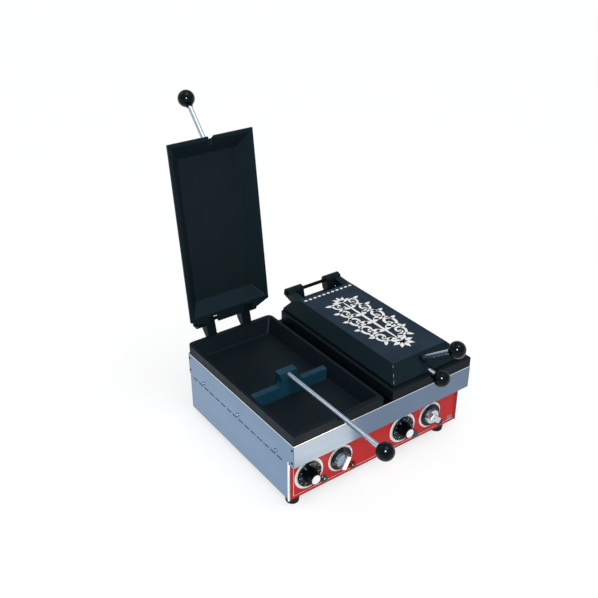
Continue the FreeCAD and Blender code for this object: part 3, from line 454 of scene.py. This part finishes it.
def make_scroll(radius, band):
    bpy.ops.object.select_all(action="DESELECT")
    bpy.ops.mesh.primitive_plane_add(size=band * MM)
    scroll = bpy.context.object
    pick_vertices(scroll, lambda co: co.y > 0)
    bpy.ops.mesh.delete(type="VERT")
    end_edit()
    start_edit(scroll)
    bpy.ops.transform.translate(value=(radius * MM, band * 0.5 * MM, 0))
    bpy.ops.mesh.spin(steps=20, angle=FIRST_TURN, center=(0, 0, 0), axis=(0, 0, 1))
    inner = Vector((math.cos(FIRST_TURN), math.sin(FIRST_TURN), 0)) * (radius * INNER_CENTRE * MM)
    bpy.ops.mesh.spin(steps=16, angle=SECOND_TURN, center=inner, axis=(0, 0, 1))
    end_edit()
    return thicken(scroll)


leaf = make_leaf(21, 10)
scroll = make_scroll(15, 5.2)
dot = thicken(disc(16, 8, 8))
lozenge = thicken(disc(4, 10, 7))
stem = thicken(disc(24, 6, 190))
for shape in (leaf, scroll, dot, lozenge, stem):
    print("shape", len(shape.data.vertices), "vertices", [round(v / MM, 1) for v in shape.dimensions])

# %% [markdown]
# ## Lay the ornament on both lids
# The pairs sit at five heights on the stem, with a blossom at the front end and a row of lozenges near
# the back edge. The finished print is moved to the top of the closed right lid. The left lid stands
# open, so its copy is turned about the same hinge line as the lid.

# %% Lid prints
UNIT_CENTRE = 118.25 * MM
LID_MIDDLE_Y = FRONT + 200 * MM
# Each tier of the ornament: its height on the stem and its size
TIERS = ((84, 0.9), (48, 1.05), (10, 1.2), (-30, 1.25), (-70, 1.05))
SMALL_LEAF = (0.8, 0.8)
PETALS, PETAL_TURN, BLOSSOM_Y = 7, 42, -104
CROWN_LEAVES, CROWN_TURN, CROWN_Y = 5, 36, 94
LOZENGES, LOZENGE_GAP, ROW_Y = 11, 12.5, 146


def centred(count, gap):
    return [(step - (count - 1) / 2) * gap for step in range(count)]


shapes = [copy_to(stem, 0, 0)]
for side in (-1, 1):
    for height, size in TIERS:
        shapes.append(copy_to(scroll, side * 20 * size, height, 40 * side, (-side * size, size)))
        shapes.append(copy_to(dot, side * 22 * size, height - 2))
        shapes.append(copy_to(leaf, side * 3, height - 22, 90 - side * 55, (size, size)))
        shapes.append(copy_to(leaf, side * 31 * size, height + 8, 90 - side * 75, SMALL_LEAF))
        shapes.append(copy_to(leaf, side * 25 * size, height - 14, -90 + side * 40, SMALL_LEAF))
for lean in centred(PETALS, PETAL_TURN):
    shapes.append(copy_to(leaf, 0, BLOSSOM_Y, -90 + lean, (1.1, 1.0)))
for lean in centred(CROWN_LEAVES, CROWN_TURN):
    shapes.append(copy_to(leaf, 0, CROWN_Y, 90 + lean, (1.0, 0.8)))
for across in centred(LOZENGES, LOZENGE_GAP):
    shapes.append(copy_to(lozenge, across, ROW_Y))
right_print = join_as("right_lid_print", shapes, white_ink_and_highlight)
lay(right_print, Matrix.Translation((UNIT_CENTRE, LID_MIDDLE_Y, LID_TOP - SUNK)))
left_print = right_print.copy()
left_print.data = right_print.data.copy()
left_print.name = "left_lid_print"
bpy.context.scene.collection.objects.link(left_print)
to_hinge = Matrix.Translation(HINGE)
opened = to_hinge @ Matrix.Rotation(math.radians(-OPEN_ANGLE), 4, "X") @ to_hinge.inverted()
lay(left_print, opened @ Matrix.Translation((-2 * UNIT_CENTRE, 0, 0)))
for obj, body in ((right_print, "right_lid"), (left_print, "left_lid")):
    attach(obj, body)
    print(obj.name, "rides", body, [round(v / MM) for v in obj.dimensions], "mm")
discard(leaf, scroll, dot, lozenge, stem)

# %% [markdown]
# ## Marks on the dials
# Each thermostat dial is numbered round its black skirt, so that the cook can return to a setting. The
# ticks are small bars set out by angle, and the numerals are text turned to mesh. They are drawn flat,
# stood upright to face the front, and ride on the dial.

# %% Dial numerals and ticks
SKIRT = 3.0 * MM
TICK_RADIUS = 24.0
NUMBER_RADIUS = 19.6
NUMERAL = 5.2
TICKS = 11
NUMBERS = 6
SWEEP = 300
upright = Matrix.Rotation(math.radians(90), 4, "X")


def ring_place(radius, step, count):
    angle = 90 + SWEEP / 2 - SWEEP * step / (count - 1)
    return radius * math.cos(math.radians(angle)), radius * math.sin(math.radians(angle)), angle - 90


def number(text, x, y, turn):
    bpy.ops.object.select_all(action="DESELECT")
    bpy.ops.object.text_add()
    obj = bpy.context.object
    obj.data.body = text
    obj.data.size = NUMERAL * MM
    obj.data.align_x = "CENTER"
    obj.data.align_y = "CENTER"
    obj.data.extrude = INK / 2
    bpy.ops.object.convert(target="MESH")
    obj = bpy.context.object
    obj.location = (x * MM, y * MM, INK / 2)
    obj.rotation_euler = (0, 0, math.radians(turn))
    return obj


tick = thicken(disc(4, 1.6, 4.2))
for side in ("left", "right"):
    low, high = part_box(side + "_dial_knob")
    marks = []
    for step in range(TICKS):
        marks.append(copy_to(tick, *ring_place(TICK_RADIUS, step, TICKS)))
    for step in range(NUMBERS):
        marks.append(number(str(step), *ring_place(NUMBER_RADIUS, step, NUMBERS)))
    dial_marks = join_as(side + "_dial_marks", marks, grey_ink)
    middle = Vector(((low.x + high.x) / 2, high.y - SKIRT + SUNK, (low.z + high.z) / 2))
    lay(dial_marks, Matrix.Translation(middle) @ upright)
    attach(dial_marks, side + "_dial")
    print(dial_marks.name, len(dial_marks.data.polygons), "faces")

# %% [markdown]
# ## Marks on the selectors
# The white ring behind each selector has three dark marks, one per setting, and the plated bar has a dark
# line that points to them. The line rides on the selector, and the marks stay on the case.

# %% Selector marks
BAR_ANGLE = {"left": 28, "right": -50}
MARK_ANGLES = (-60, 0, 60)
MARK_RADIUS = 27.2
LINE_RADIUS = 8
LINE_STRETCH = (1.0, 2.4)
ring_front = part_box("scale_rings")[0].y
for side in ("left", "right"):
    low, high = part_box(side + "_switch_skirt")
    grip_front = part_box(side + "_switch_grip")[0].y
    x, z = (low.x + high.x) / 2, (low.z + high.z) / 2
    marks = []
    for angle in MARK_ANGLES:
        across, along = math.sin(math.radians(angle)), math.cos(math.radians(angle))
        marks.append(copy_to(tick, MARK_RADIUS * across, MARK_RADIUS * along, -angle))
    ring_marks = join_as(side + "_selector_marks", marks, ink)
    lay(ring_marks, Matrix.Translation((x, ring_front + SUNK, z)) @ upright)
    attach(ring_marks, "housing")
    lean = math.radians(BAR_ANGLE[side])
    place = LINE_RADIUS * math.sin(lean), LINE_RADIUS * math.cos(lean)
    line = copy_to(tick, *place, -BAR_ANGLE[side], LINE_STRETCH)
    pointer = join_as(side + "_selector_line", [line], ink)
    lay(pointer, Matrix.Translation((x, grip_front + SUNK, z)) @ upright)
    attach(pointer, side + "_selector")
    print(ring_marks.name, pointer.name)
discard(tick)

# %% [markdown]
# ## Painted highlight along the red panel's border
# A thin white line follows the raised border of the red panel at the left and along the bottom: a painted
# highlight where the border's edge catches the light. Each length starts as a cube that is stretched to
# size and sunk into the panel's face by half its depth.

# %% Border highlight
def bar(name, low, high, material, edge=0.0):
    bpy.ops.object.select_all(action="DESELECT")
    bpy.ops.mesh.primitive_cube_add(size=1.0)
    obj = bpy.context.object
    low, high = Vector(low) * MM, Vector(high) * MM
    start_edit(obj)
    bpy.ops.transform.resize(value=high - low)
    bpy.ops.transform.translate(value=(low + high) / 2)
    if edge:
        bpy.ops.mesh.bevel(offset=edge * MM, segments=3)
    end_edit()
    obj.name = name
    obj.data.name = name
    obj.data.materials.append(material)
    return obj


BORDER = 1.5
INSET_LEFT, INSET = 8.4, 4.4
UPRIGHT_WIDTH, FOOT_WIDTH, HALF_DEPTH = 1.3, 1.0, 0.1
panel_low, panel_high = [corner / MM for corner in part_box("control_panel")]
line_front, line_back = panel_low.y + BORDER - HALF_DEPTH, panel_low.y + BORDER + HALF_DEPTH
left_edge, right_edge = panel_low.x + INSET_LEFT, panel_high.x - INSET
foot_edge, top_edge = panel_low.z + INSET, panel_high.z - 1
line_start = (left_edge, line_front, foot_edge)
upright_line = bar("line", line_start, (left_edge + UPRIGHT_WIDTH, line_back, top_edge), white_ink_and_highlight)
foot_line = bar("line", line_start, (right_edge, line_back, foot_edge + FOOT_WIDTH), white_ink_and_highlight)
border_highlight = join_as("panel_border_highlight", [upright_line, foot_line], white_ink_and_highlight)
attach(border_highlight, "housing")
print(border_highlight.name, [round(v / MM, 1) for v in border_highlight.dimensions], "mm")

# %% [markdown]
# ## Hem of the left side panel
# The front edge of the left side panel is hemmed: the sheet is folded back on itself, and a short tongue
# of the fold laps up over the tray's skirt. Both are bars like the line above, and a bevel gives them the
# round edges of bent sheet. They are drawn in a much brighter metal than the panel, a painted highlight
# where the round edge catches the light.

# %% Hem
HEM_SET_BACK, HEM_WIDTH, HEM_PROUD, HEM_ROUND = 14.3, 2.5, 1.8, 0.6
TONGUE_LAP, TONGUE_RISE, TONGUE_GAP = 1.5, 7, 0.05
tray_low, tray_high = [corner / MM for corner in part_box("top_tray")]
side_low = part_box("left_side_panel")[0] / MM
outer, lap = tray_low.x - HEM_PROUD, tray_low.x - TONGUE_GAP
hem_front, hem_back = tray_low.y + HEM_SET_BACK, tray_low.y + HEM_SET_BACK + HEM_WIDTH
skirt_foot = panel_high.z
hem_low, hem_high = (outer, hem_front, side_low.z + 0.3), (side_low.x + 0.1, hem_back, skirt_foot - 0.3)
tongue_low = (outer, hem_front, skirt_foot - TONGUE_LAP)
tongue_high = (lap, hem_back, skirt_foot + TONGUE_RISE)
hem_fold = bar("hem", hem_low, hem_high, highlight_steel, HEM_ROUND)
tongue = bar("tongue", tongue_low, tongue_high, highlight_steel, HEM_ROUND)
hem = join_as("side_panel_hem", [hem_fold, tongue], highlight_steel)
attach(hem, "housing")
print(hem.name, [round(v / MM, 1) for v in hem.dimensions], "mm")

# %% [markdown]
# ## Painted highlight on the fold of the tray
# The tray's top edge is a fold, and its round catches the light. A thin bar with round edges along the
# front and the left, a tenth of a millimetre proud of the sheet, is drawn in a brighter metal than the
# tray: a painted highlight along that edge.

# %% Fold
PROUD, FOLD_WIDTH, FOLD_DEPTH, FOLD_ROUND = 0.1, 1.0, 1.4, 0.3
high_z = tray_high.z + PROUD
low_z = high_z - FOLD_DEPTH
front_y, left_x = tray_low.y - PROUD, tray_low.x - PROUD
front_low, front_high = (tray_low.x + 1, front_y, low_z), (tray_high.x - 1, front_y + FOLD_WIDTH, high_z)
left_low, left_high = (left_x, tray_low.y + 1, low_z), (left_x + FOLD_WIDTH, tray_high.y - 3, high_z)
front_fold = bar("fold", front_low, front_high, highlight_steel, FOLD_ROUND)
left_fold = bar("fold", left_low, left_high, highlight_steel, FOLD_ROUND)
tray_fold_highlight = join_as("tray_fold_highlight", [front_fold, left_fold], highlight_steel)
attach(tray_fold_highlight, "housing")
print(tray_fold_highlight.name, [round(v / MM, 1) for v in tray_fold_highlight.dimensions], "mm")

# %% [markdown]
# ## Painted highlight on the corner of the closed lid
# A bright sliver of metal runs along the corner nearest the cook in short streaks: a painted highlight
# where that edge catches the light. Each streak is a ball stretched along the corner and sunk so far that
# only a thin sliver shows.

# %% Highlight streaks
CORNER_FOOT = Vector((21.5, FRONT / MM + 10, 182.8))
CORNER_TOP = Vector((46.0, FRONT / MM + 43, LID_TOP / MM))
INWARD = Vector((0.62, 0.5, -0.6)).normalized()
# Each streak: how far up the corner its middle is, as a share, and half its length
STREAKS = ((0.16, 7.5), (0.47, 8.5), (0.86, 5.5))
STREAK_RADIUS, STREAK_SUNK = 0.8, 1.1
along = (CORNER_TOP - CORNER_FOOT).normalized()
streaks = []
for share, length in STREAKS:
    bpy.ops.object.select_all(action="DESELECT")
    bpy.ops.mesh.primitive_uv_sphere_add(segments=12, ring_count=8, radius=1.0 * MM)
    streak = bpy.context.object
    start_edit(streak)
    bpy.ops.transform.resize(value=(STREAK_RADIUS, STREAK_RADIUS, length))
    end_edit()
    streak.rotation_euler = along.to_track_quat("Z", "Y").to_euler()
    streak.location = (CORNER_FOOT.lerp(CORNER_TOP, share) + INWARD * STREAK_SUNK) * MM
    streaks.append(streak)
# The streaks are a bright metal: a painted highlight on the lid's corner
corner_highlight = join_as("right_lid_corner_highlight", streaks, iron_edge_highlight)
bpy.ops.object.shade_smooth()
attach(corner_highlight, "right_lid")
print(corner_highlight.name, [round(v / MM, 1) for v in corner_highlight.dimensions], "mm")

# %% [markdown]
# ## Floor and world
# The machine stands on a plain white floor, and a pale world fills the shadows. White paper in a render
# is greyer than in a picture, so the floor also glows by itself where the camera or a reflection sees it.
# The share of paper that is left keeps a soft shadow under the machine.

# %% Floor and world
SHADOW = 0.3
FILL = 0.7
FLOOR_SIZE = 30.0
FLOOR_DROP = 0.2 * MM
bpy.ops.object.select_all(action="DESELECT")
bpy.ops.mesh.primitive_plane_add(size=FLOOR_SIZE, location=(0, 0, -FLOOR_DROP))
floor = bpy.context.object
floor.name = "studio_floor"
paper, tree, shader = start_material("white_paper_floor")
# Matt white paper: bright and without any shine
feed(tree, shader, {"Base Color": linear("#fafafa"), "Roughness": 0.9, "Specular IOR Level": 0.0})
rays = add(tree, "ShaderNodeLightPath").outputs
seen = rays["Is Camera Ray"]
for kind in ("Is Glossy Ray", "Is Transmission Ray"):
    seen = add(tree, "ShaderNodeMath", {0: seen, 1: rays[kind]}, operation="MAXIMUM").outputs[0]
share = add(tree, "ShaderNodeMath", {0: seen, 1: 1.0 - SHADOW}, operation="MULTIPLY")
glow = add(tree, "ShaderNodeEmission", {"Strength": 1.0})
mix = add(tree, "ShaderNodeMixShader", {0: share.outputs[0], 1: shader.outputs[0], 2: glow.outputs[0]})
tree.links.new(mix.outputs[0], tree.nodes["Material Output"].inputs["Surface"])
floor.data.materials.append(paper)
scene = bpy.context.scene
scene.world = bpy.data.worlds.new("studio_world")
scene.world.use_nodes = True
backdrop = scene.world.node_tree.nodes["Background"]
backdrop.inputs["Color"].default_value = linear("#f2f5f8")
backdrop.inputs["Strength"].default_value = FILL
scene.view_settings.view_transform = "Standard"
print("floor", tuple(floor.dimensions))

# %% [markdown]
# ## Lamps
# A broad soft sun lights everything evenly, and a flash beside the camera lights the front. The other
# lamps only show as reflections: a square one near the camera puts the bright point on each black ball,
# a card behind draws the bright line on the scraper's rod, and two low cards, in front of the left end
# and at the left, are what the brushed steel mirrors there.

# %% Lamps
def lamp(name, kind, place, target, energy, size, colour="#ffffff"):
    data = bpy.data.lights.new(name, kind)
    data.energy = energy
    data.color = linear(colour)[:3]
    if kind == "SUN":
        data.angle = size
    else:
        data.shape = "RECTANGLE"
        data.size, data.size_y = size
    light = bpy.data.objects.new(name, data)
    scene.collection.objects.link(light)
    light.location = place
    light.rotation_euler = (Vector(target) - Vector(place)).to_track_quat("-Z", "Y").to_euler()
    return light


def card(name, place, way, energy, size, colour, spread=180):
    light = lamp(name, "AREA", place, Vector(place) + Vector(way), energy, size, colour)
    light.data.spread = math.radians(spread)
    light.visible_camera = False
    light.visible_diffuse = False
    return light


lamp("broad_sun", "SUN", (0.2, -0.8, 3.0), (0, 0, 0), 1.3, math.radians(40))
lamp("camera_flash", "AREA", (-0.85, -1.15, 1.25), (0, 0, 0.15), 5.0, (0.3, 0.3))
sparkle = lamp("ball_sparkle", "AREA", (-0.84, -1.15, 1.22), (0, 0, 0.15), 64.0, (0.36, 0.36))
sparkle.visible_diffuse = False
card("front_card", (-0.128, FRONT - 0.098, 0.05), (-0.479, 0.61, 0.63), 0.018, (0.19, 0.1), "#ffe4c0", 50)
card("left_card", (-0.33, 0.09, 0.003), (0, 0, 1), 0.18, (0.2, 0.62), "#d0f2ff")
card("rod_card", (-0.85, 1.2, 2.0), (0.85, -1.2, -1.85), 2.6, (0.5, 0.5), "#f4f9ff")

# %% [markdown]
# ## Camera
# The camera stands where the photograph was taken. Its place, its turn and its focal length in pixels
# were worked out from the corners of the case, and the lens in millimetres follows from the sensor.

# %% Camera
PICTURE = 598
FOCAL_PIXELS = 837.3
SENSOR = 36.0
CAMERA_PLACE = (-0.9071, FRONT - 0.9651, 1.1264)
LOOK_DOWN = 29.33
LOOK_RIGHT = 35.74
camera_data = bpy.data.cameras.new("photo_camera")
camera_data.sensor_width = SENSOR
camera_data.lens = FOCAL_PIXELS * SENSOR / PICTURE
camera = bpy.data.objects.new("photo_camera", camera_data)
scene.collection.objects.link(camera)
camera.location = CAMERA_PLACE
camera.rotation_euler = (math.radians(90 - LOOK_DOWN), 0, math.radians(-LOOK_RIGHT))
scene.camera = camera
print("camera lens", round(camera_data.lens, 2), "mm")
